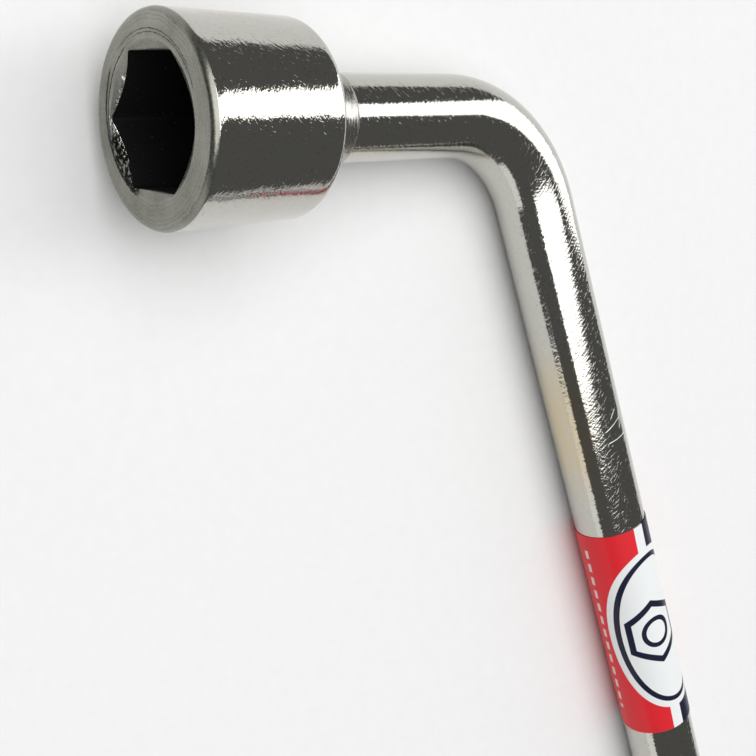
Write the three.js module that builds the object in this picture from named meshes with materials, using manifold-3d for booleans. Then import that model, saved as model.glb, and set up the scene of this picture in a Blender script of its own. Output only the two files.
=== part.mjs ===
// L-shaped lug wrench: a hexagon socket welded to a bent round bar that ends in a flat pry tip, with a
// printed label wrapped round the handle. Millimetres, +Z up, lying on its side the way it settles.
//
// Every piece is first made straight along +Y, with the socket's mouth at y = 0. The bar and the label are
// then bent along the wrench's centreline. Last, the whole wrench is turned onto its three resting points.
import * as THREE from 'three';
import { ConvexHull } from 'three/addons/math/ConvexHull.js';
import { mergeVertices } from 'three/addons/utils/BufferGeometryUtils.js';
import Module from 'manifold-3d';

const wasm = await Module();
wasm.setup();

// ---------------------------------------------------------------- driving sizes, in mm and degrees

// Wheel nut the socket turns.
const NUT_ACROSS_FLATS = 19;
const NUT_CLEARANCE = 0.2;
const HEX_DEPTH = 19;
const HEX_TURN_DEG = 37.9;

// Socket head.
const SOCKET_WALL_OVER_CORNERS = 4.4;
const SOCKET_TAPER = 0.03;
const MOUTH_ROUNDING = 1.3;
const BACK_ROUNDING = 1.9;
const COUNTERSINK_LIP = 0.15;
const COUNTERSINK_ANGLE_DEG = 28;

// Bar.
const BAR_DIAMETER = 14;
const ARM_STRAIGHT = 33.5;
const BEND_RADIUS = 22;
const BEND_ANGLE_DEG = 75;
const HANDLE_STRAIGHT = 280;
const FLOOR_UNDER_NUT = 1.2;
const SPIGOT_DEPTH = 3.8;
const END_CHAMFER = 0.6;

// Pry tip, forged out of the bar's end.
const TIP_LENGTH = 38;
const TIP_WIDTH = 17;
const TIP_THICKNESS = 2.6;
const TIP_SQUARENESS = 4.5;

// Weld bead behind the socket.
const BEAD_LENGTH = 8;
const BEAD_ROOT_HEIGHT = 1.5;
const BEAD_TOE_HEIGHT = 0.15;

// Label.
const LABEL_START = 66;
const LABEL_LENGTH = 46.5;
const LABEL_THICKNESS = 0.12;
const LABEL_SEAM_DEG = 144;

// Clearances between pieces.
const WELD_GAP = 0.05;
const LABEL_GAP = 0.03;

// Facets.
const BAR_FACETS = 60;
const SOCKET_FACETS = 90;
const BEND_STEPS = 20;
const TIP_STEPS = 12;
const BEAD_STEPS = 6;
const ROUNDING_STEPS = 4;
const SEAM_FACETS = 2;

// ---------------------------------------------------------------- sizes that follow from them

const BAR_RADIUS = BAR_DIAMETER / 2;
const HEX_FLAT_RADIUS = (NUT_ACROSS_FLATS + NUT_CLEARANCE) / 2;
const HEX_CORNER_RADIUS = HEX_FLAT_RADIUS / Math.cos(Math.PI / 6);
const SOCKET_RADIUS = HEX_CORNER_RADIUS + SOCKET_WALL_OVER_CORNERS;
const SOCKET_BACK_RADIUS = SOCKET_RADIUS * (1 - SOCKET_TAPER);
const BEND_ANGLE = THREE.MathUtils.degToRad(BEND_ANGLE_DEG);
const SPIGOT_START = HEX_DEPTH + FLOOR_UNDER_NUT;
const SOCKET_LENGTH = SPIGOT_START + SPIGOT_DEPTH;
const BEND_START = SOCKET_LENGTH + ARM_STRAIGHT;
const BEND_END = BEND_START + BEND_RADIUS * BEND_ANGLE;
const BAR_END = BEND_END + HANDLE_STRAIGHT;
const TIP_START = BAR_END - TIP_LENGTH;
const CUT_OVERRUN = 2;

// ---------------------------------------------------------------- general shape helpers

// Turns a geometry inside out if its faces point inwards.
function facingOut(geometry) {
  const index = geometry.index.array;
  if (volumeAndCentre(geometry).volume < 0) {
    for (let corner = 0; corner < index.length; corner += 3) {
      [index[corner + 1], index[corner + 2]] = [index[corner + 2], index[corner + 1]];
    }
  }
  return geometry;
}

// Welds a geometry's corners together, so that neighbouring faces share them.
function welded(geometry) {
  geometry.deleteAttribute('normal');
  geometry.deleteAttribute('uv');
  return facingOut(mergeVertices(geometry, 1e-5));
}

// Volume and centre of mass of a closed geometry, from the tetrahedra its faces make with the origin.
function volumeAndCentre(geometry) {
  const position = geometry.attributes.position;
  const index = geometry.index.array;
  const corners = [new THREE.Vector3(), new THREE.Vector3(), new THREE.Vector3()];
  const moment = new THREE.Vector3();
  let volume = 0;
  for (let face = 0; face < index.length; face += 3) {
    corners.forEach((corner, k) => corner.fromBufferAttribute(position, index[face + k]));
    const [a, b, c] = corners;
    const piece = a.dot(b.clone().cross(c)) / 6;
    volume += piece;
    moment.addScaledVector(a.clone().add(b).add(c), piece / 4);
  }
  return { volume, centre: moment.divideScalar(volume) };
}

// A round solid about the Y axis from a profile of [radius, y] points.
function turned(profile, facets) {
  const points = profile.map(([radius, y]) => new THREE.Vector2(radius, y));
  return welded(new THREE.LatheGeometry(points, facets));
}

// A straight piece along +Y from its outline, whose second coordinate points down.
function extruded(outline, fromY, toY) {
  const options = { depth: toY - fromY, bevelEnabled: false };
  const geometry = new THREE.ExtrudeGeometry(new THREE.Shape(outline), options);
  geometry.rotateX(-Math.PI / 2);
  geometry.translate(0, fromY, 0);
  return welded(geometry);
}

// A quarter-round between two directions, as [radius, y] points.
function rounding(centreRadius, centreY, size, fromDeg, toDeg) {
  return Array.from({ length: ROUNDING_STEPS + 1 }, (_, k) => {
    const angle = THREE.MathUtils.degToRad(fromDeg + ((toDeg - fromDeg) * k) / ROUNDING_STEPS);
    return [centreRadius + size * Math.cos(angle), centreY + size * Math.sin(angle)];
  });
}

function toManifold(geometry) {
  const mesh = new wasm.Mesh({
    numProp: 3,
    vertProperties: new Float32Array(geometry.attributes.position.array),
    triVerts: new Uint32Array(geometry.index.array),
  });
  return new wasm.Manifold(mesh);
}

// The body with every one of the tools cut out of it.
function cutFrom(body, tools) {
  let solid = toManifold(body);
  for (const tool of tools) {
    solid = solid.subtract(toManifold(tool));
  }
  const result = solid.getMesh();
  const geometry = new THREE.BufferGeometry();
  geometry.setAttribute('position', new THREE.BufferAttribute(result.vertProperties, 3));
  geometry.setIndex(new THREE.BufferAttribute(result.triVerts, 1));
  return geometry;
}

// ---------------------------------------------------------------- the wrench's centreline

// Moves a straight piece's corners onto the bent centreline. The offset across the bar stays the same:
// x lies in the plane of the wrench, towards the inside of the bend, and z is square to that plane.
function bent(geometry) {
  const position = geometry.attributes.position;
  for (let k = 0; k < position.count; k += 1) {
    const inward = position.getX(k);
    const along = position.getY(k);
    const turn = THREE.MathUtils.clamp((along - BEND_START) / BEND_RADIUS, 0, BEND_ANGLE);
    const straight = along <= BEND_START ? along - BEND_START : Math.max(0, along - BEND_END);
    const reach = BEND_RADIUS - inward;
    const x = BEND_RADIUS - reach * Math.cos(turn) + straight * Math.sin(turn);
    const y = BEND_START + reach * Math.sin(turn) + straight * Math.cos(turn);
    position.setXY(k, x, y);
  }
  return geometry;
}

// ---------------------------------------------------------------- pieces

// The bar's stations along its length: both straights, the bend and the tapering tip.
function barStations() {
  const bend = Array.from({ length: BEND_STEPS + 1 }, (_, k) => (
    BEND_START + ((BEND_END - BEND_START) * k) / BEND_STEPS));
  const tip = Array.from({ length: TIP_STEPS + 1 }, (_, k) => TIP_START + (TIP_LENGTH * k) / TIP_STEPS);
  return [...bend, ...tip];
}

// Forges the bar's end: thinner in the plane of the wrench, wider across it, and squarer in section.
function forgeTip(geometry) {
  const position = geometry.attributes.position;
  for (let k = 0; k < position.count; k += 1) {
    const along = position.getY(k);
    const radius = Math.hypot(position.getX(k), position.getZ(k));
    if (along <= TIP_START || radius === 0) {
      continue;
    }
    const progress = (along - TIP_START) / TIP_LENGTH;
    const ease = THREE.MathUtils.smoothstep(progress, 0, 1) * 0.35 + progress * 0.65;
    const thick = THREE.MathUtils.lerp(BAR_RADIUS, TIP_THICKNESS / 2, ease);
    const wide = THREE.MathUtils.lerp(BAR_RADIUS, TIP_WIDTH / 2, THREE.MathUtils.smoothstep(progress, 0, 1));
    const power = 2 / THREE.MathUtils.lerp(2, TIP_SQUARENESS, ease);
    const across = position.getX(k) / radius;
    const upward = position.getZ(k) / radius;
    position.setX(k, Math.sign(across) * thick * Math.abs(across) ** power);
    position.setZ(k, Math.sign(upward) * wide * Math.abs(upward) ** power);
  }
  return geometry;
}

function handleBar() {
  const profile = [
    [0, SPIGOT_START + WELD_GAP],
    [BAR_RADIUS - END_CHAMFER, SPIGOT_START + WELD_GAP],
    [BAR_RADIUS, SPIGOT_START + WELD_GAP + END_CHAMFER],
    ...barStations().map((along) => [BAR_RADIUS, along]),
    [0, BAR_END],
  ];
  return bent(forgeTip(turned(profile, BAR_FACETS)));
}

// A six-sided prism along +Y, turned to the socket's hexagon.
function hexagonPrism(cornerRadius, fromY, toY) {
  const corners = Array.from({ length: 6 }, (_, k) => {
    const angle = THREE.MathUtils.degToRad(HEX_TURN_DEG + 60 * k);
    return new THREE.Vector2(-cornerRadius * Math.cos(angle), -cornerRadius * Math.sin(angle));
  });
  return extruded(corners, fromY, toY);
}

function socketHead() {
  const body = turned([
    [0, 0],
    ...rounding(SOCKET_RADIUS - MOUTH_ROUNDING, MOUTH_ROUNDING, MOUTH_ROUNDING, -90, 0),
    ...rounding(SOCKET_BACK_RADIUS - BACK_ROUNDING, SOCKET_LENGTH - BACK_ROUNDING, BACK_ROUNDING, 0, 90),
    [0, SOCKET_LENGTH],
  ], SOCKET_FACETS);
  const slope = Math.tan(THREE.MathUtils.degToRad(COUNTERSINK_ANGLE_DEG));
  const countersinkRadius = HEX_CORNER_RADIUS + COUNTERSINK_LIP;
  const countersink = turned([
    [0, -CUT_OVERRUN],
    [countersinkRadius + CUT_OVERRUN / slope, -CUT_OVERRUN],
    [0, countersinkRadius * slope],
  ], SOCKET_FACETS);
  const barHole = turned([
    [0, SPIGOT_START],
    [BAR_RADIUS + WELD_GAP, SPIGOT_START],
    [BAR_RADIUS + WELD_GAP, SOCKET_LENGTH + CUT_OVERRUN],
    [0, SOCKET_LENGTH + CUT_OVERRUN],
  ], BAR_FACETS);
  return cutFrom(body, [hexagonPrism(HEX_CORNER_RADIUS, -CUT_OVERRUN, HEX_DEPTH), countersink, barHole]);
}

// A ring round the bar that falls away in a hollow curve from the socket's back to a fine toe.
function weldBead() {
  const inner = BAR_RADIUS + WELD_GAP;
  const start = SOCKET_LENGTH + WELD_GAP;
  const end = SOCKET_LENGTH + BEAD_LENGTH;
  const surface = Array.from({ length: BEAD_STEPS + 1 }, (_, k) => {
    const progress = k / BEAD_STEPS;
    const height = BEAD_TOE_HEIGHT + (BEAD_ROOT_HEIGHT - BEAD_TOE_HEIGHT) * (1 - progress) ** 3;
    return [BAR_RADIUS + height, start + (end - start) * progress];
  });
  return turned([[inner, start], ...surface, [inner, end], [inner, start]], BAR_FACETS);
}

// A sleeve open along one seam, with its facets in line with the bar's.
function label() {
  const facetDeg = 360 / BAR_FACETS;
  const seamEnd = Math.round(LABEL_SEAM_DEG / facetDeg) + SEAM_FACETS / 2;
  const inner = BAR_RADIUS + LABEL_GAP;
  const around = (radius, facet) => {
    const angle = THREE.MathUtils.degToRad(-facet * facetDeg);
    return new THREE.Vector2(radius * Math.sin(angle), -radius * Math.cos(angle));
  };
  const facets = Array.from({ length: BAR_FACETS - SEAM_FACETS + 1 }, (_, k) => seamEnd + k);
  const outline = [
    ...facets.map((facet) => around(inner, facet)),
    ...facets.reverse().map((facet) => around(inner + LABEL_THICKNESS, facet)),
  ];
  const start = BEND_END + LABEL_START;
  return bent(extruded(outline, start, start + LABEL_LENGTH));
}

// ---------------------------------------------------------------- resting on a flat surface

// Finds the three points the wrench settles on and returns the turn that sets them level. Of the hull's
// faces under the wrench, it settles on the one with the centre of mass straight above it.
function settlingTurn(geometries) {
  const moment = new THREE.Vector3();
  const points = [];
  let total = 0;
  for (const geometry of geometries) {
    const { volume, centre } = volumeAndCentre(geometry);
    moment.addScaledVector(centre, volume);
    total += volume;
    const position = geometry.attributes.position;
    for (let k = 0; k < position.count; k += 1) {
      points.push(new THREE.Vector3().fromBufferAttribute(position, k));
    }
  }
  const centre = moment.divideScalar(total);
  const hull = new ConvexHull().setFromPoints(points);
  const below = hull.faces.filter((face) => face.normal.z < -0.9);
  const support = below.find((face) => {
    const foot = centre.clone().addScaledVector(face.normal, -face.distanceToPoint(centre));
    let edge = face.edge;
    do {
      const side = edge.head().point.clone().sub(edge.tail().point);
      const offset = foot.clone().sub(edge.tail().point);
      if (side.cross(offset).dot(face.normal) < 0) {
        return false;
      }
      edge = edge.next;
    } while (edge !== face.edge);
    return true;
  });
  const down = support.normal;
  const roll = new THREE.Matrix4().makeRotationY(Math.atan2(down.x, -down.z));
  const rolled = down.clone().applyMatrix4(roll);
  return new THREE.Matrix4().makeRotationX(Math.atan2(-rolled.y, -rolled.z)).multiply(roll);
}

// ---------------------------------------------------------------- assembly

const chrome = { color: 0xcfcfca, roughness: 0.14, metalness: 1 };
const pieces = [
  ['socket_head', socketHead(), chrome],
  ['handle_bar', handleBar(), { ...chrome, color: 0xcacac4, roughness: 0.12 }],
  ['weld_bead', weldBead(), { ...chrome, color: 0xb9b9b2, roughness: 0.3 }],
  ['label', label(), { color: 0xd9282f, roughness: 0.3, metalness: 0 }],
];

const turn = settlingTurn(pieces.map(([, geometry]) => geometry));
const box = new THREE.Box3();
for (const [, geometry] of pieces) {
  geometry.applyMatrix4(turn);
  geometry.computeBoundingBox();
  box.union(geometry.boundingBox);
}
const middle = box.getCenter(new THREE.Vector3());

const group = new THREE.Group();
group.name = 'lug_wrench';
for (const [name, geometry, finish] of pieces) {
  geometry.translate(-middle.x, -middle.y, -box.min.z);
  const mesh = new THREE.Mesh(geometry, new THREE.MeshStandardMaterial(finish));
  mesh.name = name;
  group.add(mesh);
}

export default group;
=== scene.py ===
"""Lug wrench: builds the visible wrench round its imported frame, with its finishes, light and camera."""
import math

import bpy
import numpy as np
from bpy.props import FloatProperty, FloatVectorProperty, PointerProperty
from mathutils import Matrix, Vector


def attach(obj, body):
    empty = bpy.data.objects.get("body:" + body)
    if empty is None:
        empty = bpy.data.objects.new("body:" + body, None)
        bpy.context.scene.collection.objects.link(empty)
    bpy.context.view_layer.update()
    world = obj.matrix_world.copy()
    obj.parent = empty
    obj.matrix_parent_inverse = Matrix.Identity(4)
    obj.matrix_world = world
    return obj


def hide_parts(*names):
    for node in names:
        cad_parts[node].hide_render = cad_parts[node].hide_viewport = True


bl_info = {
    "name": "Lug Wrench",
    "version": (1, 0, 0),
    "blender": (4, 5, 0),
    "location": "View3D > Sidebar > Lug Wrench",
    "description": "Builds an L-shaped lug wrench with its chrome, label and studio",
    "category": "Add Mesh",
}

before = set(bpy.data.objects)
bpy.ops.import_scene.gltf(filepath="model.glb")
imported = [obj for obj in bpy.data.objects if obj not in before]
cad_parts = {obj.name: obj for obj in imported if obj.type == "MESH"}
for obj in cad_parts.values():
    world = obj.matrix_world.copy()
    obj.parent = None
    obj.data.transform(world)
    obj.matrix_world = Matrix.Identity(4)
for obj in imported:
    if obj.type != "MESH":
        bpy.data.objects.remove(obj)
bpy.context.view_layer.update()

MM = 0.001
TURN = 2 * math.pi

# How the wrench lies once it has settled on its three resting points.
MOUTH_CENTRE = np.array([-135.79886, -75.75457, 18.19843]) * MM
REST_PITCH = math.radians(-8.734560)
REST_ROLL = math.radians(-2.672591)

# Small fixed sizes: the metal under the bore's floor, the gaps that keep pieces apart, and two edges.
FLOOR_UNDER_NUT = 1.2 * MM
SPIGOT_GAP = 0.05 * MM
BEAD_OFF_SOCKET = 0.02 * MM
BEAD_OFF_BAR = 0.01 * MM
LABEL_GAP = 0.03 * MM
END_CHAMFER = 0.6 * MM
COUNTERSINK_LIP = 0.15 * MM

# Where the camera stands, and its view and picture axes in the world.
CAMERA_PLACE = Vector((-129.3295, -140.5746, 176.8211)) * MM
CAMERA_AHEAD = Vector((0.18175639, 0.52457572, -0.8317361))
CAMERA_DOWN = Vector((0.98218791, -0.13784128, 0.12769765))


# ---------------------------------------------------------------- sizes and colours a user would change

class SocketSizes(bpy.types.PropertyGroup):
    length: FloatProperty(name="Length", description="Mouth to back", default=24 * MM, unit="LENGTH")
    mouth_radius: FloatProperty(
        name="Mouth radius", description="Outside radius at the mouth", default=15.485 * MM, unit="LENGTH")
    taper: FloatProperty(
        name="Taper", description="Share of the radius lost by the back", default=0.03, subtype="FACTOR")
    mouth_rounding: FloatProperty(
        name="Mouth rounding", description="Radius of the mouth's outer edge",
        default=1.3 * MM, unit="LENGTH")
    back_rounding: FloatProperty(
        name="Back rounding", description="Radius of the back's outer edge", default=1.9 * MM, unit="LENGTH")
    across_flats: FloatProperty(
        name="Across flats", description="Width of the hexagon bore", default=19.2 * MM, unit="LENGTH")
    hexagon_turn: FloatProperty(
        name="Hexagon turn", description="Turn of a hexagon corner about the socket's axis",
        default=math.radians(37.9), subtype="ANGLE")
    hexagon_depth: FloatProperty(
        name="Hexagon depth", description="Depth of the bore", default=19 * MM, unit="LENGTH")
    countersink_angle: FloatProperty(
        name="Countersink angle", description="Slope of the countersink from the face",
        default=math.radians(28), subtype="ANGLE")


class BarSizes(bpy.types.PropertyGroup):
    radius: FloatProperty(name="Radius", description="Radius of the bar", default=7 * MM, unit="LENGTH")
    arm: FloatProperty(
        name="Arm", description="Straight bar between the socket and the bend",
        default=33.5 * MM, unit="LENGTH")
    bend_radius: FloatProperty(
        name="Bend radius", description="Radius of the bend's centreline", default=22 * MM, unit="LENGTH")
    bend_angle: FloatProperty(
        name="Bend angle", description="How far the bar turns", default=math.radians(75), subtype="ANGLE")
    handle: FloatProperty(
        name="Handle", description="Straight bar from the bend to the tip's end",
        default=280 * MM, unit="LENGTH")
    tip_length: FloatProperty(name="Tip length", description="Forged length", default=38 * MM, unit="LENGTH")
    tip_width: FloatProperty(
        name="Tip width", description="Width of the blade", default=17 * MM, unit="LENGTH")
    tip_thickness: FloatProperty(
        name="Tip thickness", description="Thickness of the blade's end", default=2.6 * MM, unit="LENGTH")


class BeadSizes(bpy.types.PropertyGroup):
    length: FloatProperty(name="Length", description="From the socket's back", default=8 * MM, unit="LENGTH")
    root: FloatProperty(name="Root", description="Height at the socket", default=1.5 * MM, unit="LENGTH")
    toe: FloatProperty(name="Toe", description="Height at the thin end", default=0.3 * MM, unit="LENGTH")


class LabelSizes(bpy.types.PropertyGroup):
    start: FloatProperty(name="Start", description="Distance from the bend", default=66 * MM, unit="LENGTH")
    length: FloatProperty(name="Length", description="Length along the bar", default=46.5 * MM, unit="LENGTH")
    thickness: FloatProperty(name="Thickness", description="Film thickness", default=0.12 * MM, unit="LENGTH")
    seam: FloatProperty(
        name="Seam", description="Where the label's two edges meet",
        default=math.radians(144), subtype="ANGLE")
    gap: FloatProperty(name="Gap", description="Angle left open", default=math.radians(12), subtype="ANGLE")


class Finishes(bpy.types.PropertyGroup):
    chrome: FloatVectorProperty(
        name="Chrome", description="Colour of the plating", default=(0.56, 0.55, 0.505), subtype="COLOR")
    face: FloatVectorProperty(
        name="Turned face", description="Colour of the socket's end face",
        default=(0.27, 0.27, 0.235), subtype="COLOR")
    # The bore's near-black colour is painted shade of the deep bore over bare steel.
    bore: FloatVectorProperty(
        name="Bore", description="Colour of the bare bore", default=(0.012, 0.012, 0.013), subtype="COLOR")
    red: FloatVectorProperty(
        name="Label red", description="Label's ground colour", default=(0.7, 0.02, 0.03), subtype="COLOR")
    navy: FloatVectorProperty(
        name="Label navy", description="Label's stripe colour", default=(0.008, 0.009, 0.03), subtype="COLOR")
    white: FloatVectorProperty(
        name="Label white", description="Label's badge colour", default=(0.8, 0.82, 0.82), subtype="COLOR")


class StudioSettings(bpy.types.PropertyGroup):
    lens: FloatProperty(name="Lens", description="Focal length", default=56.6, unit="CAMERA")
    floor_size: FloatProperty(name="Floor size", description="Side of the floor", default=2.2, unit="LENGTH")
    light: FloatProperty(name="Light", description="Brightness of the soft lights", default=1.0)
    surround: FloatProperty(name="Surround", description="Brightness of the studio's grey", default=0.11)


# ---------------------------------------------------------------- shape helpers

def placed(points):
    """Turns points from the wrench's own frame to where it lies: Rx(pitch) Ry(roll) p + mouth centre."""
    turn = Matrix.Rotation(REST_PITCH, 3, "X") @ Matrix.Rotation(REST_ROLL, 3, "Y")
    return points @ np.array(turn).T + MOUTH_CENTRE


def bent(points, bar, socket):
    """Carries straight points (inward, along, up) onto the bent centreline.

    turn = clamp((along - bend start) / bend radius, 0, bend angle); a point in the bend lies at
    bend centre + (bend radius - inward) (-cos turn, sin turn), and one past it goes on along the tangent.
    """
    start = socket.length + bar.arm
    end = start + bar.bend_radius * bar.bend_angle
    inward, along, up = np.moveaxis(points, -1, 0)
    turn = np.clip((along - start) / bar.bend_radius, 0, bar.bend_angle)
    straight = np.minimum(along - start, 0) + np.maximum(along - end, 0)
    reach = bar.bend_radius - inward
    x = bar.bend_radius - reach * np.cos(turn) + straight * np.sin(turn)
    y = start + reach * np.sin(turn) + straight * np.cos(turn)
    return np.stack([x, y, up], axis=-1)


def ring(radius, along, count):
    """Rows of a turned surface: (r cos t, along, r sin t) for t once round, closed on itself."""
    angle = np.linspace(0, TURN, count, endpoint=False)
    radius = np.broadcast_to(radius, (len(along), count))
    height = np.broadcast_to(np.asarray(along).reshape(len(along), -1), (len(along), count))
    return np.stack([radius * np.cos(angle), height, radius * np.sin(angle)], axis=-1)


def eased(start, end, step, edge):
    """Places along a length: even steps, with one more close to each end so that shading turns there."""
    count = max(2, int(round((end - start) / step)) + 1)
    return np.concatenate([[start], np.linspace(start + edge, end - edge, count), [end]])


def arc(centre, size, from_angle, to_angle, steps):
    """Points centre + size (cos a, sin a) of a rounding, as (radius, along) pairs."""
    angle = np.radians(np.linspace(from_angle, to_angle, steps))
    return np.stack([centre[0] + size * np.cos(angle), centre[1] + size * np.sin(angle)], axis=-1)


def skin(name, straight, world, poles=(False, False), loop=False, slots=None):
    """A mesh from a grid of rows closed round the columns, wound so that its faces point outwards.

    A pole row is drawn together into one corner; with loop the last row joins the first. The straight
    grid is kept as a corner attribute, so that finishes follow the bar through its bend.
    """
    rows, columns = world.shape[:2]
    corners = world.reshape(-1, 3)
    plain = straight.reshape(-1, 3)
    grid = np.arange(rows * columns).reshape(rows, columns)
    after = np.roll(grid, -1, axis=1)
    first = 1 if poles[0] else 0
    last = rows - 2 if poles[1] else rows - 1
    below = grid[first:last]
    quads = np.stack([below, grid[first + 1:last + 1], after[first + 1:last + 1], after[first:last]], axis=-1)
    row_of = np.repeat(np.arange(first, last), columns)
    quads = quads.reshape(-1, 4)
    if loop:
        closing = np.stack([grid[-1], grid[0], after[0], after[-1]], axis=-1)
        quads = np.concatenate([quads, closing])
        row_of = np.concatenate([row_of, np.full(columns, rows - 1)])
    faces = quads.tolist()
    row_of = row_of.tolist()
    if poles[0]:
        faces += np.stack([grid[1], after[1], np.full(columns, grid[0, 0])], axis=-1).tolist()
        row_of += [0] * columns
    if poles[1]:
        faces += np.stack([after[-2], grid[-2], np.full(columns, grid[-1, 0])], axis=-1).tolist()
        row_of += [rows - 2] * columns
    keep = np.zeros(len(corners), bool)
    keep[quads.ravel()] = True
    if poles[0]:
        keep[grid[0, 0]] = True
    if poles[1]:
        keep[grid[-1, 0]] = True
    renumber = np.cumsum(keep) - 1
    faces = [[int(renumber[corner]) for corner in face] for face in faces]
    mesh = bpy.data.meshes.new(name)
    mesh.from_pydata(corners[keep], [], faces)
    attribute = mesh.attributes.new("straight", "FLOAT_VECTOR", "POINT")
    attribute.data.foreach_set("vector", plain[keep].astype(np.float32).ravel())
    if slots is not None:
        mesh.polygons.foreach_set("material_index", np.asarray(slots, np.int32)[row_of])
    mesh.polygons.foreach_set("use_smooth", np.ones(len(mesh.polygons), bool))
    mesh.update()
    if mesh.validate():
        raise RuntimeError(f"{name} came out with faulty faces")
    piece = bpy.data.objects.new(name, mesh)
    bpy.context.scene.collection.objects.link(piece)
    return piece


def hand_over(piece, node, materials):
    """Gives a finished piece its materials and puts it in the place of its CAD node."""
    for material in materials:
        piece.data.materials.append(material)
    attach(piece, "root")
    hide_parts(node)


# ---------------------------------------------------------------- node helpers

def add(tree, kind, inputs=None, **settings):
    """Adds a node, sets its settings, then sets or links each of its named inputs."""
    node = tree.nodes.new(kind)
    for key, value in settings.items():
        setattr(node, key, value)
    for key, value in (inputs or {}).items():
        if isinstance(value, bpy.types.NodeSocket):
            tree.links.new(value, node.inputs[key])
        else:
            node.inputs[key].default_value = value
    return node


def calc(tree, operation, *values, clamp=False):
    """One Math node, given numbers or sockets."""
    node = add(tree, "ShaderNodeMath", dict(enumerate(values)), operation=operation, use_clamp=clamp)
    return node.outputs[0]


def between(tree, value, low, high, soft):
    """1 where low < value < high, falling to 0 over the soft width."""
    up = add(tree, "ShaderNodeMapRange", {"Value": value, "From Min": low - soft, "From Max": low + soft},
             interpolation_type="SMOOTHSTEP").outputs[0]
    down = add(tree, "ShaderNodeMapRange", {"Value": value, "From Min": high + soft, "From Max": high - soft},
               interpolation_type="SMOOTHSTEP").outputs[0]
    return calc(tree, "MULTIPLY", up, down)


def over(tree, under, colour, mask):
    """Lays a colour over another where the mask is 1."""
    node = add(tree, "ShaderNodeMix", {0: mask, 6: under, 7: colour}, data_type="RGBA")
    return node.outputs[2]


def new_material(name):
    """An empty material with its surface shader and output."""
    material = bpy.data.materials.new(name)
    material.use_nodes = True
    tree = material.node_tree
    tree.nodes.clear()
    shader = add(tree, "ShaderNodeBsdfPrincipled")
    add(tree, "ShaderNodeOutputMaterial", {"Surface": shader.outputs[0]})
    return material, tree, shader


def straight_place(tree, stretch=(1, 1, 1)):
    """The straightened bar's coordinates in millimetres, stretched for a pattern."""
    source = add(tree, "ShaderNodeAttribute", attribute_name="straight").outputs["Vector"]
    return add(tree, "ShaderNodeMapping", {
        "Vector": source, "Scale": tuple(1000 * part for part in stretch),
    }).outputs[0]


def rolled_place(tree, radius_mm, around, along, lean=0.0):
    """The surface rolled out flat: (angle times radius, distance along) in mm, turned by lean, then scaled.

    The angle is measured from the top, so the two edges of the roll meet underneath.
    """
    parts = add(tree, "ShaderNodeSeparateXYZ", {0: straight_place(tree)}).outputs
    angle = calc(tree, "ARCTAN2", parts[0], parts[2])
    rolled = calc(tree, "MULTIPLY", angle, radius_mm)
    flat = add(tree, "ShaderNodeCombineXYZ", {0: rolled, 1: parts[1]}).outputs[0]
    return add(tree, "ShaderNodeMapping", {
        "Vector": flat, "Scale": (1 / around, 1 / along, 1), "Rotation": (0, 0, lean),
    }, vector_type="TEXTURE").outputs[0]


def noise(tree, place, scale=1.0, detail=2.0, roughness=0.5, distortion=0.0):
    return add(tree, "ShaderNodeTexNoise", {
        "Vector": place, "Scale": scale, "Detail": detail, "Roughness": roughness, "Distortion": distortion,
    }).outputs["Fac"]


def total(tree, *parts):
    """Adds sockets scaled by numbers: total(tree, (socket, 0.2), (socket, 0.1))."""
    result = 0.0
    for socket, share in parts:
        result = calc(tree, "MULTIPLY_ADD", socket, share, result)
    return result


def distance(tree, first, second):
    """Distance from the middle of two coordinates: the root of the sum of their squares."""
    squares = [(calc(tree, "MULTIPLY", part, part), 1.0) for part in (first, second)]
    return calc(tree, "SQRT", total(tree, *squares))


def bumped(tree, shader, height_mm):
    """Feeds a height in millimetres to the shader's normal."""
    bump = add(tree, "ShaderNodeBump", {"Strength": 1.0, "Distance": MM, "Height": height_mm})
    tree.links.new(bump.outputs[0], shader.inputs["Normal"])


# ---------------------------------------------------------------- finishes

SCRATCH_HALF_WIDTH = 0.09


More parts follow.
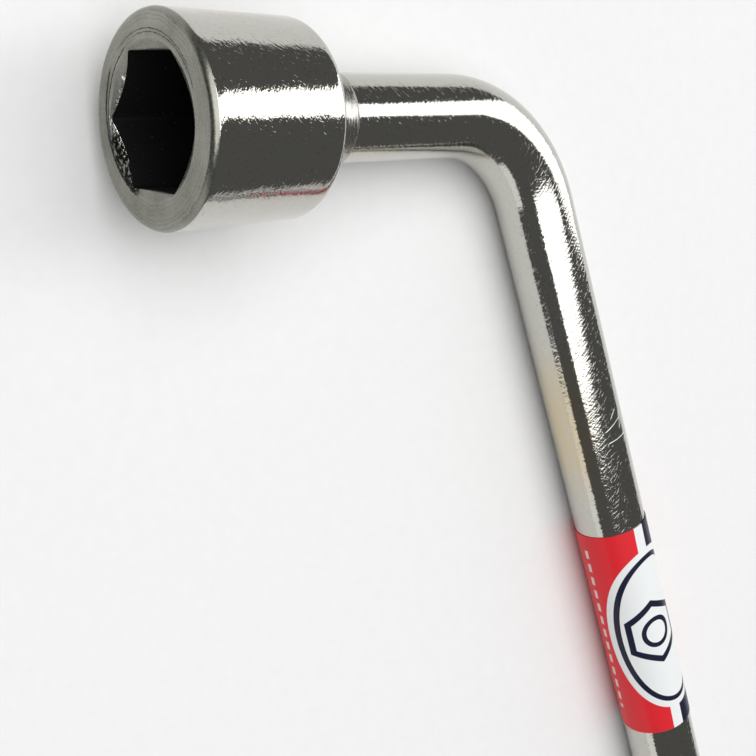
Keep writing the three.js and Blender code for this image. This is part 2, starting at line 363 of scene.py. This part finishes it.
def polished_chrome(name, colour, radius_mm, strokes, hair, grain, waves, stain, scratches=()):
    """Bright plating over a surface polished across its length.

    Height = strokes (short noise leaning both ways across the bar) + hair (the tops of the strokes) + grain
    (round noise at two sizes) + waves (slow noise) + a few raised specks. Colour has faint pits, a blotched
    stain (start and end along, side towards the inside of the bend, tint) and matt scratches (around, along,
    lean, length).
    """
    material, tree, shader = new_material(name)
    leaning = noise(tree, rolled_place(tree, radius_mm, 0.55, 2.6, 0.62), 1.0, 1.0, 0.4)
    back_leaning = noise(tree, rolled_place(tree, radius_mm, 0.6, 2.2, -0.5), 1.0, 1.0, 0.4)
    fine = noise(tree, straight_place(tree), 3.0, 1.0, 0.5)
    cloudy = noise(tree, straight_place(tree), 1.1, 2.0, 0.5)
    slow = noise(tree, straight_place(tree), 0.2, 1.0)
    nick = noise(tree, rolled_place(tree, radius_mm, 1.2, 4.2, 0.9), 1.0, 0.0)
    nicks = add(tree, "ShaderNodeMapRange", {"Value": nick, "From Min": 0.72, "From Max": 0.82}).outputs[0]
    hairs = add(tree, "ShaderNodeMapRange", {"Value": leaning, "From Min": 0.6, "From Max": 0.68}).outputs[0]
    bumped(tree, shader, total(
        tree, (leaning, strokes), (back_leaning, strokes), (fine, grain),
        (cloudy, grain * 2), (slow, waves), (nicks, strokes * 0.8), (hairs, hair)))
    pits = add(tree, "ShaderNodeMapRange", {"Value": nick, "From Min": 0.25, "From Max": 0.17}).outputs[0]
    bright = tuple(colour) + (1.0,)
    tone = over(tree, bright, tuple(part * 0.9 for part in colour) + (1.0,), cloudy)
    dots = add(tree, "ShaderNodeMapRange", {"Value": fine, "From Min": 0.37, "From Max": 0.27}).outputs[0]
    tone = over(tree, tone, tuple(part * 0.78 for part in colour) + (1.0,), dots)
    tone = over(tree, tone, tuple(part * 0.6 for part in colour) + (1.0,), pits)
    start, end, side, tint = stain
    parts = add(tree, "ShaderNodeSeparateXYZ", {0: straight_place(tree)}).outputs
    inward = calc(tree, "MULTIPLY", parts[0], math.copysign(1, side))
    reaches = add(tree, "ShaderNodeMapRange", {
        "Value": inward, "From Min": abs(side) - 1, "From Max": abs(side) + 1}).outputs[0]
    patch = calc(tree, "MULTIPLY", between(tree, parts[1], start / MM, end / MM, 7.0), reaches)
    blotch = add(tree, "ShaderNodeMapRange", {
        "Value": cloudy, "From Min": 0.28, "From Max": 0.58, "To Min": 0.35})
    tone = over(tree, tone, tuple(tint) + (1.0,), calc(tree, "MULTIPLY", patch, blotch.outputs[0]))
    scratched = 0.0
    for around, along, lean, length in scratches:
        local = add(tree, "ShaderNodeMapping", {
            "Vector": rolled_place(tree, radius_mm, 1, 1),
            "Location": (around, along, 0), "Rotation": (0, 0, lean),
        }, vector_type="TEXTURE").outputs[0]
        line = add(tree, "ShaderNodeSeparateXYZ", {0: local}).outputs
        width = between(tree, line[0], -SCRATCH_HALF_WIDTH, SCRATCH_HALF_WIDTH, 0.05)
        stroke = calc(tree, "MULTIPLY", width, between(tree, line[1], 0, length, 0.4))
        scratched = calc(tree, "MAXIMUM", scratched, stroke)
    tone = over(tree, tone, (1.0, 1.0, 1.0, 1.0), scratched)
    rough = calc(tree, "MULTIPLY_ADD", cloudy, 0.1, 0.02)
    tree.links.new(calc(tree, "MULTIPLY_ADD", scratched, 0.5, rough), shader.inputs["Roughness"])
    tree.links.new(tone, shader.inputs["Base Color"])
    shader.inputs["Metallic"].default_value = 1.0
    return material


# Cracks left by the lathe: radius in mm where they cross the lower side, drift in mm per degree, start and
# end in degrees, half-width in mm.
CRACKS = ((12.1, -0.0125, -42, 60, 0.14), (11.6, -0.002, -66, 4, 0.1), (11.95, -0.008, -34, 24, 0.07),
          (14.9, 0.0, 46, 58, 0.13), (12.9, 0.004, -150, -58, 0.05), (12.1, 0.001, -165, -80, 0.05))


def turned_face(name, colour, depth, flat_mm=None, first_side=0.0):
    """Satin plating over a face turned on a lathe: rings uneven in height and brightness.

    With flat_mm, the bore's half width, cracks run round part of it; where they near the hexagon the colour
    turns near black in patches, and burrs raised on the hexagon's edge carry a painted glint in near-white
    colour. The first side of the hexagon faces first_side.
    """
    material, tree, shader = new_material(name)
    parts = add(tree, "ShaderNodeSeparateXYZ", {0: straight_place(tree)}).outputs
    x, z = parts[0], parts[2]
    radius = distance(tree, x, z)
    wander = noise(tree, straight_place(tree), 0.3, 2.0)
    bent_radius = calc(tree, "MULTIPLY_ADD", wander, 1.2, radius)
    rings = noise(tree, add(tree, "ShaderNodeCombineXYZ", {0: bent_radius}).outputs[0], 1.9, 3.0, 0.65)
    grain = noise(tree, straight_place(tree), 3.0, 2.0)
    cloud = noise(tree, straight_place(tree), 0.2, 2.0)
    uneven = total(tree, (rings, 0.7), (grain, 0.45), (cloud, 0.6))
    tone = add(tree, "ShaderNodeMapRange", {"Value": uneven, "From Min": 0.45, "From Max": 1.3}).outputs[0]

    def tinted(share):
        return tuple(part * share for part in colour) + (1.0,)

    shade = over(tree, tinted(0.4), tinted(1.45), tone)
    height = total(tree, (rings, depth), (grain, 0.012))
    dull = calc(tree, "MULTIPLY_ADD", grain, 0.2, 0.2)
    if flat_mm is not None:
        side = calc(tree, "DEGREES", calc(tree, "ARCTAN2", x, calc(tree, "MULTIPLY", z, -1.0)))
        polar = add(tree, "ShaderNodeCombineXYZ", {
            0: calc(tree, "MULTIPLY", side, 0.24), 1: calc(tree, "MULTIPLY", radius, 2.0)}).outputs[0]
        ragged = noise(tree, polar, 1.0, 2.0, 0.6)
        crack = 0.0
        for reach, drift, start, end, width in CRACKS:
            off = total(tree, (radius, 1.0), (side, -drift), (ragged, 0.5))
            ring_line = between(tree, off, reach + 0.25 - width, reach + 0.25 + width, 0.07)
            part_way = calc(tree, "MULTIPLY", ring_line, between(tree, side, start, end, 4))
            crack = calc(tree, "MAXIMUM", crack, part_way)
        reach, drift = CRACKS[0][:2]
        off = total(tree, (radius, 1.0), (side, -drift), (ragged, 0.5))
        inside = between(tree, off, 0.0, reach + 0.25, 0.1)
        # Patches between the first crack and the hexagon, on the lower side, coloured near black.
        near_black_patch = calc(tree, "MULTIPLY", calc(tree, "MULTIPLY", inside, between(tree, side, 4, 60, 4)), add(
            tree, "ShaderNodeMapRange", {"Value": ragged, "From Min": 0.6, "From Max": 0.52}).outputs[0])
        hexagon = None
        for step in range(3):
            angle = first_side + step * math.pi / 3
            gap = calc(tree, "ABSOLUTE", total(tree, (x, math.cos(angle)), (z, math.sin(angle))))
            hexagon = gap if hexagon is None else calc(tree, "MAXIMUM", hexagon, gap)
        close = calc(tree, "MULTIPLY_ADD", ragged, -2.6, hexagon)
        burr_and_glint = calc(tree, "MULTIPLY", between(tree, close, 0.0, flat_mm - 1.15, 0.1),
                    between(tree, side, -46, 30, 3))
        shade = over(tree, shade, tinted(0.05), near_black_patch)
        shade = over(tree, shade, tinted(0.05), crack)
        # Painted glint: the raised burrs on the hexagon's edge are coloured near white.
        shade = over(tree, shade, (0.95, 0.95, 0.9, 1.0), burr_and_glint)
        height = total(tree, (height, 1.0), (crack, -0.06), (burr_and_glint, 0.05))
        dull = calc(tree, "MULTIPLY_ADD", burr_and_glint, -0.2, dull)
    bumped(tree, shader, height)
    tree.links.new(shade, shader.inputs["Base Color"])
    tree.links.new(dull, shader.inputs["Roughness"])
    shader.inputs["Metallic"].default_value = 1.0
    return material


def bare_bore_painted_shade(colour):
    """Bare steel in the bore, coloured near black as painted shade, with broaching marks along it and a few
    bright specks.
    """
    material, tree, shader = new_material("bare_bore_painted_shade")
    broaching = noise(tree, straight_place(tree, (3, 0.25, 3)), 1.0, 2.0)
    grain = noise(tree, straight_place(tree), 2.5, 3.0)
    bumped(tree, shader, total(tree, (broaching, 0.03), (grain, 0.03)))
    speck = add(tree, "ShaderNodeMapRange", {"Value": grain, "From Min": 0.68, "From Max": 0.74}).outputs[0]
    base = tuple(colour) + (1.0,)
    tree.links.new(over(tree, base, (0.12, 0.12, 0.12, 1.0), speck), shader.inputs["Base Color"])
    shader.inputs["Metallic"].default_value = 0.6
    shader.inputs["Roughness"].default_value = 0.5
    return material


def dressed_weld(colour):
    """Satin plating over a weld bead dressed round the bar, with lines round it."""
    material, tree, shader = new_material("dressed_weld")
    rounds = noise(tree, straight_place(tree, (0.18, 2.4, 0.18)), 1.0, 3.0, 0.6)
    lumps = noise(tree, straight_place(tree), 0.5, 2.0)
    bumped(tree, shader, total(tree, (rounds, 0.12), (lumps, 0.12)))
    base = tuple(colour) + (1.0,)
    dull = tuple(part * 0.62 for part in colour) + (1.0,)
    tree.links.new(over(tree, base, dull, rounds), shader.inputs["Base Color"])
    tree.links.new(calc(tree, "MULTIPLY_ADD", rounds, 0.3, 0.08), shader.inputs["Roughness"])
    shader.inputs["Metallic"].default_value = 1.0
    return material


def printed_film(finishes):
    """Red film with a white and a navy stripe along it and an oval badge that shows a hexagon nut.

    The label map's u is the way round the bar and v the way along it, both in millimetres.
    """
    material, tree, shader = new_material("printed_film")
    red, navy, white = (tuple(tint) + (1.0,) for tint in (finishes.red, finishes.navy, finishes.white))
    place = add(tree, "ShaderNodeUVMap", uv_map="label_mm").outputs[0]
    parts = add(tree, "ShaderNodeSeparateXYZ", {0: place}).outputs
    along = parts["Y"]
    # The print sits a little askew on the bar.
    around = calc(tree, "MULTIPLY_ADD", along, 0.025, parts["X"])
    soft = 0.05
    colour = over(tree, red, white, between(tree, around, -1.59, 0.86, soft))
    colour = over(tree, colour, navy, between(tree, around, 0.86, 8.0, soft))
    # A column of short dashes near the far edge of the red.
    beat = calc(tree, "FRACT", calc(tree, "DIVIDE", along, 3.1))
    dash = calc(tree, "MULTIPLY", between(tree, beat, 0.12, 0.72, 0.03),
                between(tree, along, 3.5, 41.5, soft))
    colour = over(tree, colour, (0.72, 0.6, 0.55, 1.0),
                  calc(tree, "MULTIPLY", dash, between(tree, around, -13.0, -12.1, soft)))

    def oval(centre_x, centre_y, half_x, half_y):
        across = calc(tree, "DIVIDE", calc(tree, "SUBTRACT", parts["X"], centre_x), half_x)
        length = calc(tree, "DIVIDE", calc(tree, "SUBTRACT", along, centre_y), half_y)
        return between(tree, distance(tree, across, length), -1.0, 1.0, 0.004)

    # The badge: an oval of white with a navy ring inside its border.
    colour = over(tree, colour, white, oval(0.2, 23.5, 11.9, 18.35))
    colour = over(tree, colour, navy, oval(0.2, 23.5, 10.4, 17.0))
    colour = over(tree, colour, white, oval(0.2, 23.5, 9.1, 15.95))
    # The nut: a bold hexagon outline round a ring.
    nut_x = calc(tree, "ADD", parts["X"], 1.6)
    nut_y = calc(tree, "ADD", along, -23.5)
    reach = None
    for turn in (0, 60, 120):
        angle = math.radians(turn)
        side = calc(tree, "ABSOLUTE", total(tree, (nut_x, math.cos(angle)), (nut_y, math.sin(angle))))
        reach = side if reach is None else calc(tree, "MAXIMUM", reach, side)
    colour = over(tree, colour, navy, between(tree, reach, 5.0, 6.3, soft))
    colour = over(tree, colour, navy, oval(-1.6, 23.5, 3.4, 3.4))
    colour = over(tree, colour, white, oval(-1.6, 23.5, 2.4, 2.4))
    tree.links.new(colour, shader.inputs["Base Color"])
    ripple = noise(tree, place, 0.25, 2.0)
    bumped(tree, shader, total(tree, (ripple, 0.03)))
    shader.inputs["Roughness"].default_value = 0.4
    shader.inputs["Specular IOR Level"].default_value = 0.2
    shader.inputs["Coat Weight"].default_value = 0.12
    shader.inputs["Coat Roughness"].default_value = 0.1
    return material


# ---------------------------------------------------------------- pieces

class WRENCH_OT_socket_head(bpy.types.Operator):
    """Makes the socket head with its rounded edges, countersink and hexagon bore"""
    bl_idname = "wrench.socket_head"
    bl_label = "Socket Head"

    def execute(self, context):
        sizes = context.scene.wrench_socket
        bar = context.scene.wrench_bar
        finishes = context.scene.wrench_finishes
        columns = 360
        angle = np.linspace(0, TURN, columns, endpoint=False)
        flat = sizes.across_flats / 2
        # Hexagon with eased corners: r = (sum of max(0, cos(t - side) / flat)^70)^(-1/70) over six sides.
        first_side = math.pi - sizes.hexagon_turn + math.pi / 6
        sides = first_side + np.arange(6) * math.pi / 3
        facing = np.maximum(0, np.cos(angle[None] - sides[:, None])) / flat
        hexagon = (facing ** 70).sum(axis=0) ** (-1 / 70)
        corner = flat / math.cos(math.pi / 6)
        slope = math.tan(sizes.countersink_angle)
        lip = corner + COUNTERSINK_LIP
        break_depth = (lip - hexagon) * slope
        back = sizes.mouth_radius * (1 - sizes.taper)
        hole = bar.radius + SPIGOT_GAP
        floor = sizes.hexagon_depth
        edge = 0.12 * MM

        def turned(pairs):
            pairs = np.asarray(pairs)
            return ring(pairs[:, :1], pairs[:, 1], columns)

        back_arc = arc((back - sizes.back_rounding, sizes.length - sizes.back_rounding),
                       sizes.back_rounding, 90, 0, 9)
        mouth_arc = arc((sizes.mouth_radius - sizes.mouth_rounding, sizes.mouth_rounding),
                        sizes.mouth_rounding, 0, -90, 9)
        side_along = np.linspace(back_arc[-1, 1], mouth_arc[0, 1], 22)[1:-1]
        side_radius = np.interp(side_along, [mouth_arc[0, 1], back_arc[-1, 1]],
                                [mouth_arc[0, 0], back_arc[-1, 0]])
        spigot = floor + FLOOR_UNDER_NUT
        rear = [(0, spigot), (hole - edge, spigot), (hole, spigot), (hole, spigot + edge),
                (hole, sizes.length - edge), (hole, sizes.length), (hole + edge, sizes.length),
                (back_arc[0, 0] - edge, sizes.length)]
        outside = np.concatenate([rear, back_arc, np.stack([side_radius, side_along], axis=-1)])
        face = np.concatenate([mouth_arc, [(radius, 0.0) for radius in
                                           np.linspace(mouth_arc[-1, 0] - edge, lip + edge, 6)]])
        sink = np.linspace(0, 1, 5)[:, None]
        sink_radius = lip + (hexagon - lip) * sink
        sink_along = break_depth * sink
        wall = np.concatenate([[edge / floor / 2], np.linspace(edge / floor, 1, 16)])[:, None]
        wall_along = break_depth + (floor - break_depth) * wall
        inner = np.array([1 - edge / flat, 0.5, 0.0])[:, None] * hexagon
        rows = np.concatenate([
            turned(outside), turned(face), ring(sink_radius, sink_along, columns),
            ring(np.broadcast_to(hexagon, wall_along.shape), wall_along, columns),
            ring(inner, np.full((3, columns), floor), columns),
        ])
        slots = np.zeros(len(rows), int)
        face_start = len(outside) + len(mouth_arc) - 1
        sink_start = len(outside) + len(face)
        # The mouth's rounded edge takes slot 4: turned satin rings in the darker face colour instead of
        # chrome, a painted dark reflection along the rim.
        slots[len(outside) + 1:] = 4
        slots[face_start:] = 1
        slots[sink_start:] = 2
        slots[sink_start + len(sink) - 1:] = 3
        piece = skin("socket", rows, placed(rows), poles=(True, True), slots=slots)
        rust = (8 * MM, 17 * MM, -13.2, (0.46, 0.4, 0.3))
        hand_over(piece, "socket_head", [
            polished_chrome("socket_chrome", finishes.chrome, 15.2, 0.013, 0.002, 0.008, 0.08, rust),
            turned_face("turned_face", finishes.face, 0.025, flat / MM, first_side),
            turned_face("countersink", finishes.face, 0.04, flat / MM, first_side),
            # The rim's darker face colour is a painted dark reflection.
            bare_bore_painted_shade(finishes.bore), turned_face("rim_painted_dark_reflection", finishes.face, 0.015),
        ])
        return {"FINISHED"}


class WRENCH_OT_handle_bar(bpy.types.Operator):
    """Makes the bent bar with its forged pry tip"""
    bl_idname = "wrench.handle_bar"
    bl_label = "Handle Bar"

    def execute(self, context):
        bar = context.scene.wrench_bar
        socket = context.scene.wrench_socket
        columns = 128
        start = socket.hexagon_depth + FLOOR_UNDER_NUT + SPIGOT_GAP
        bend_start = socket.length + bar.arm
        bend_end = bend_start + bar.bend_radius * bar.bend_angle
        end = bend_end + bar.handle
        tip_start = end - bar.tip_length
        nose = np.array([(0, start), (bar.radius - END_CHAMFER, start), (bar.radius, start + END_CHAMFER)])
        along = np.concatenate([
            np.linspace(start + END_CHAMFER, bend_start, 32)[1:],
            np.linspace(bend_start, bend_end, 40)[1:],
            np.linspace(bend_end, tip_start, 190)[1:],
            np.linspace(tip_start, end, 60)[1:],
        ])
        body = np.stack([np.full(len(along), bar.radius), along], axis=-1)
        tail = np.array([(bar.radius * share, end) for share in (0.9, 0.5, 0.0)])
        profile = np.concatenate([nose, body, tail])
        rows = ring(profile[:, :1], profile[:, 1], columns)
        rows = self.forged(rows, bar, tip_start)
        piece = skin("bar", rows, placed(bent(rows, bar, socket)), poles=(True, True))
        chrome = context.scene.wrench_finishes.chrome
        stain = (bend_end + 30 * MM, bend_end + 54 * MM, 5.2, (0.58, 0.5, 0.35))
        scar = bend_end / MM
        scratches = ((2.6, scar + 44.6, 1.9, 4.6), (0.9, scar + 42.6, 2.3, 2.4), (2.4, scar + 47.0, 1.6, 4.8),
                     (-1.2, scar + 45.4, 2.9, 3.6))
        hand_over(piece, "handle_bar", [
            polished_chrome("bar_chrome", chrome, 7, 0.014, 0.005, 0.005, 0.04, stain, scratches)])
        return {"FINISHED"}

    @staticmethod
    def forged(rows, bar, tip_start):
        """Draws the end out: x = thick sign(c) |c|^p, z = wide sign(s) |s|^p, with p from 1 to 2 / 4.5."""
        progress = np.clip((rows[..., 1] - tip_start) / bar.tip_length, 0, 1)
        smooth = progress * progress * (3 - 2 * progress)
        ease = smooth * 0.35 + progress * 0.65
        thick = bar.radius + (bar.tip_thickness / 2 - bar.radius) * ease
        wide = bar.radius + (bar.tip_width / 2 - bar.radius) * smooth
        power = 2 / (2 + 2.5 * ease)
        radius = np.hypot(rows[..., 0], rows[..., 2])
        share = radius / bar.radius
        across = rows[..., 0] / np.maximum(radius, 1e-9)
        upward = rows[..., 2] / np.maximum(radius, 1e-9)
        result = rows.copy()
        result[..., 0] = share * thick * np.sign(across) * np.abs(across) ** power
        result[..., 2] = share * wide * np.sign(upward) * np.abs(upward) ** power
        return result


class WRENCH_OT_weld_bead(bpy.types.Operator):
    """Makes the weld bead between the socket and the bar"""
    bl_idname = "wrench.weld_bead"
    bl_label = "Weld Bead"

    def execute(self, context):
        sizes = context.scene.wrench_bead
        bar = context.scene.wrench_bar
        socket = context.scene.wrench_socket
        columns = 180
        progress = np.linspace(0, 1, 24)
        start = socket.length + BEAD_OFF_SOCKET
        height = sizes.toe + (sizes.root - sizes.toe) * (1 - progress) ** 3
        outer = np.stack([bar.radius + height, start + (sizes.length - BEAD_OFF_SOCKET) * progress], axis=-1)
        inner_along = np.linspace(socket.length + sizes.length, start, 8)
        inner = np.stack([np.full(len(inner_along), bar.radius + BEAD_OFF_BAR), inner_along], axis=-1)
        profile = np.concatenate([outer, inner])
        rows = ring(profile[:, :1], profile[:, 1], columns)
        piece = skin("weld", rows[::-1], placed(rows[::-1]), loop=True)
        chrome = context.scene.wrench_finishes.chrome
        hand_over(piece, "weld_bead", [dressed_weld(chrome)])
        return {"FINISHED"}


class WRENCH_OT_label(bpy.types.Operator):
    """Wraps the printed label round the handle"""
    bl_idname = "wrench.label"
    bl_label = "Label"

    def execute(self, context):
        sizes = context.scene.wrench_label
        bar = context.scene.wrench_bar
        socket = context.scene.wrench_socket
        begin = socket.length + bar.arm + bar.bend_radius * bar.bend_angle + sizes.start
        inner = bar.radius + LABEL_GAP
        outer = inner + sizes.thickness
        columns = 200
        # Round the bar the angle is 0 at the top and grows towards the outside of the bend.
        angle = np.linspace(sizes.seam + sizes.gap / 2, sizes.seam - sizes.gap / 2 + TURN, columns) - TURN
        along = begin + eased(0, sizes.length, 1 * MM, 0.03 * MM)
        loop_angle = np.concatenate([angle, angle[::-1]])
        loop_radius = np.repeat([outer, inner], columns)
        across = np.stack([-loop_radius * np.sin(loop_angle), loop_radius * np.cos(loop_angle)], axis=-1)
        rows = np.empty((len(along), 2 * columns, 3))
        rows[..., 0] = across[:, 0]
        rows[..., 2] = across[:, 1]
        rows[..., 1] = along[:, None]
        piece = self.sleeve(rows, bar, socket)
        arc_mm = np.broadcast_to(loop_angle * bar.radius / MM, rows.shape[:2])
        self.map_print(piece, arc_mm, np.broadcast_to((along - begin)[:, None] / MM, rows.shape[:2]))
        finishes = context.scene.wrench_finishes
        hand_over(piece, "label", [printed_film(finishes)])
        return {"FINISHED"}

    @staticmethod
    def sleeve(rows, bar, socket):
        """The film as a closed body: its long loop of corners for each row, with both ends filled."""
        count, columns = rows.shape[:2]
        half = columns // 2
        grid = np.arange(count * columns).reshape(count, columns)
        after = np.roll(grid, -1, axis=1)
        sides = np.stack([grid[:-1], after[:-1], after[1:], grid[1:]], axis=-1).reshape(-1, 4)
        near = np.arange(half - 1)
        far = columns - 1 - near
        first = np.stack([near, far, far - 1, near + 1], axis=-1)
        last = first[:, ::-1] + (count - 1) * columns
        mesh = bpy.data.meshes.new("label_film")
        faces = np.concatenate([sides, first, last])
        mesh.from_pydata(placed(bent(rows, bar, socket)).reshape(-1, 3), [], faces.tolist())
        attribute = mesh.attributes.new("straight", "FLOAT_VECTOR", "POINT")
        attribute.data.foreach_set("vector", rows.astype(np.float32).ravel())
        mesh.update()
        piece = bpy.data.objects.new("label_film", mesh)
        bpy.context.scene.collection.objects.link(piece)
        return piece

    @staticmethod
    def map_print(piece, around_mm, along_mm):
        """Lays the print flat: u = angle times bar radius, v = distance from the label's start, in mm."""
        mesh = piece.data
        corner = np.empty(len(mesh.loops), np.int32)
        mesh.loops.foreach_get("vertex_index", corner)
        flat = np.stack([around_mm.ravel(), along_mm.ravel()], axis=-1)[corner]
        layer = mesh.uv_layers.new(name="label_mm")
        layer.data.foreach_set("uv", flat.astype(np.float32).ravel())


# ---------------------------------------------------------------- studio

# Plain soft lights: name, place, where it faces (metres), turn about the upright, width, height, brightness.
SOFT_LIGHTS = (
    ("overhead", (-0.51, -0.24, 1.5), (-0.51, -0.24, 0.0), math.radians(25), 2.1, 2.1, 1.95),
    ("side", (-0.42, 1.13, 0.97), (-0.13, -0.03, 0.97), 0.0, 0.6, 1.9, 1.9),
    ("fill", (1.04, -0.56, 0.2), (-0.05, -0.05, 0.2), 0.0, 1.4, 0.4, 0.75),
)


def soft_light(name, place, target, turn, width, height, brightness):
    """One rectangular panel of even light that the camera doesn't see, its power set by its area."""
    data = bpy.data.lights.new(name, "AREA")
    data.shape = "RECTANGLE"
    data.size = width
    data.size_y = height
    data.energy = 4 * width * height * brightness
    light = bpy.data.objects.new(name, data)
    facing = (Vector(target) - Vector(place)).to_track_quat("-Z", "Y").to_matrix().to_4x4()
    light.matrix_world = Matrix.Translation(place) @ Matrix.Rotation(turn, 4, "Z") @ facing
    light.visible_camera = False
    bpy.context.scene.collection.objects.link(light)


def studio_world(level):
    """An even dim grey all round, which the camera sees as a plain pale backdrop."""
    world = bpy.data.worlds.new("studio")
    world.use_nodes = True
    tree = world.node_tree
    tree.nodes.clear()
    seen = add(tree, "ShaderNodeLightPath").outputs["Is Camera Ray"]
    colour = over(tree, (level, level, level, 1.0), (1.0, 1.0, 1.0, 1.0), seen)
    background = add(tree, "ShaderNodeBackground", {"Color": colour})
    add(tree, "ShaderNodeOutputWorld", {"Surface": background.outputs[0]})
    bpy.context.scene.world = world


def floor_finish():
    """Plain pale matt floor with a fine tooth."""
    material, tree, shader = new_material("pale_floor")
    tooth = noise(tree, add(tree, "ShaderNodeTexCoord").outputs["Object"], 400.0, 2.0)
    shade = add(tree, "ShaderNodeMapRange", {"Value": tooth, "To Min": 0.79, "To Max": 0.83}).outputs[0]
    tree.links.new(add(tree, "ShaderNodeCombineColor", {0: shade, 1: shade, 2: shade}).outputs[0],
                   shader.inputs["Base Color"])
    shader.inputs["Roughness"].default_value = 0.9
    shader.inputs["Specular IOR Level"].default_value = 0.1
    return material


def pale_floor(size):
    """A plain matt floor at z = 0, worked out as a coarse grid."""
    count = 9
    steps = np.linspace(-size / 2, size / 2, count)
    x, y = np.meshgrid(steps, steps, indexing="ij")
    corners = np.stack([x, y, np.zeros_like(x)], axis=-1).reshape(-1, 3)
    grid = np.arange(count * count).reshape(count, count)
    faces = np.stack([grid[:-1, :-1], grid[1:, :-1], grid[1:, 1:], grid[:-1, 1:]], axis=-1).reshape(-1, 4)
    mesh = bpy.data.meshes.new("floor")
    mesh.from_pydata(corners, [], faces.tolist())
    floor = bpy.data.objects.new("floor", mesh)
    bpy.context.scene.collection.objects.link(floor)
    mesh.materials.append(floor_finish())


def camera_on_wrench(lens):
    """Stands the camera in front of the socket's mouth, above the wrench, turned on its side."""
    right = CAMERA_DOWN.cross(CAMERA_AHEAD)
    matrix = Matrix((right, -CAMERA_DOWN, -CAMERA_AHEAD)).transposed().to_4x4()
    matrix.translation = CAMERA_PLACE
    data = bpy.data.cameras.new("camera")
    data.sensor_width = 36
    data.lens = lens
    data.clip_start = 0.01
    camera = bpy.data.objects.new("camera", data)
    camera.matrix_world = matrix
    bpy.context.scene.collection.objects.link(camera)
    bpy.context.scene.camera = camera


class WRENCH_OT_studio(bpy.types.Operator):
    """Lays the floor, lights the studio and stands the camera"""
    bl_idname = "wrench.studio"
    bl_label = "Studio"

    def execute(self, context):
        settings = context.scene.wrench_studio
        pale_floor(settings.floor_size)
        studio_world(settings.surround)
        for *panel, brightness in SOFT_LIGHTS:
            soft_light(*panel, brightness * settings.light)
        camera_on_wrench(settings.lens)
        context.scene.view_settings.view_transform = "Standard"
        return {"FINISHED"}


class WRENCH_PT_panel(bpy.types.Panel):
    """Lists the wrench's pieces and studio"""
    bl_idname = "WRENCH_PT_panel"
    bl_label = "Lug Wrench"
    bl_space_type = "VIEW_3D"
    bl_region_type = "UI"
    bl_category = "Lug Wrench"

    def draw(self, context):
        for operator in PIECES:
            self.layout.operator(operator.bl_idname)


GROUPS = {
    "wrench_socket": SocketSizes,
    "wrench_bar": BarSizes,
    "wrench_bead": BeadSizes,
    "wrench_label": LabelSizes,
    "wrench_finishes": Finishes,
    "wrench_studio": StudioSettings,
}
PIECES = (
    WRENCH_OT_studio,
    WRENCH_OT_socket_head,
    WRENCH_OT_handle_bar,
    WRENCH_OT_weld_bead,
    WRENCH_OT_label,
)


def register():
    for group in GROUPS.values():
        bpy.utils.register_class(group)
    for name, group in GROUPS.items():
        setattr(bpy.types.Scene, name, PointerProperty(type=group))
    for operator in PIECES:
        bpy.utils.register_class(operator)
    bpy.utils.register_class(WRENCH_PT_panel)


def unregister():
    bpy.utils.unregister_class(WRENCH_PT_panel)
    for operator in reversed(PIECES):
        bpy.utils.unregister_class(operator)
    for name, group in GROUPS.items():
        delattr(bpy.types.Scene, name)
        bpy.utils.unregister_class(group)


def main():
    register()
    bpy.ops.wrench.studio()
    bpy.ops.wrench.socket_head()
    bpy.ops.wrench.handle_bar()
    bpy.ops.wrench.weld_bead()
    bpy.ops.wrench.label()


if __name__ == "__main__":
    main()
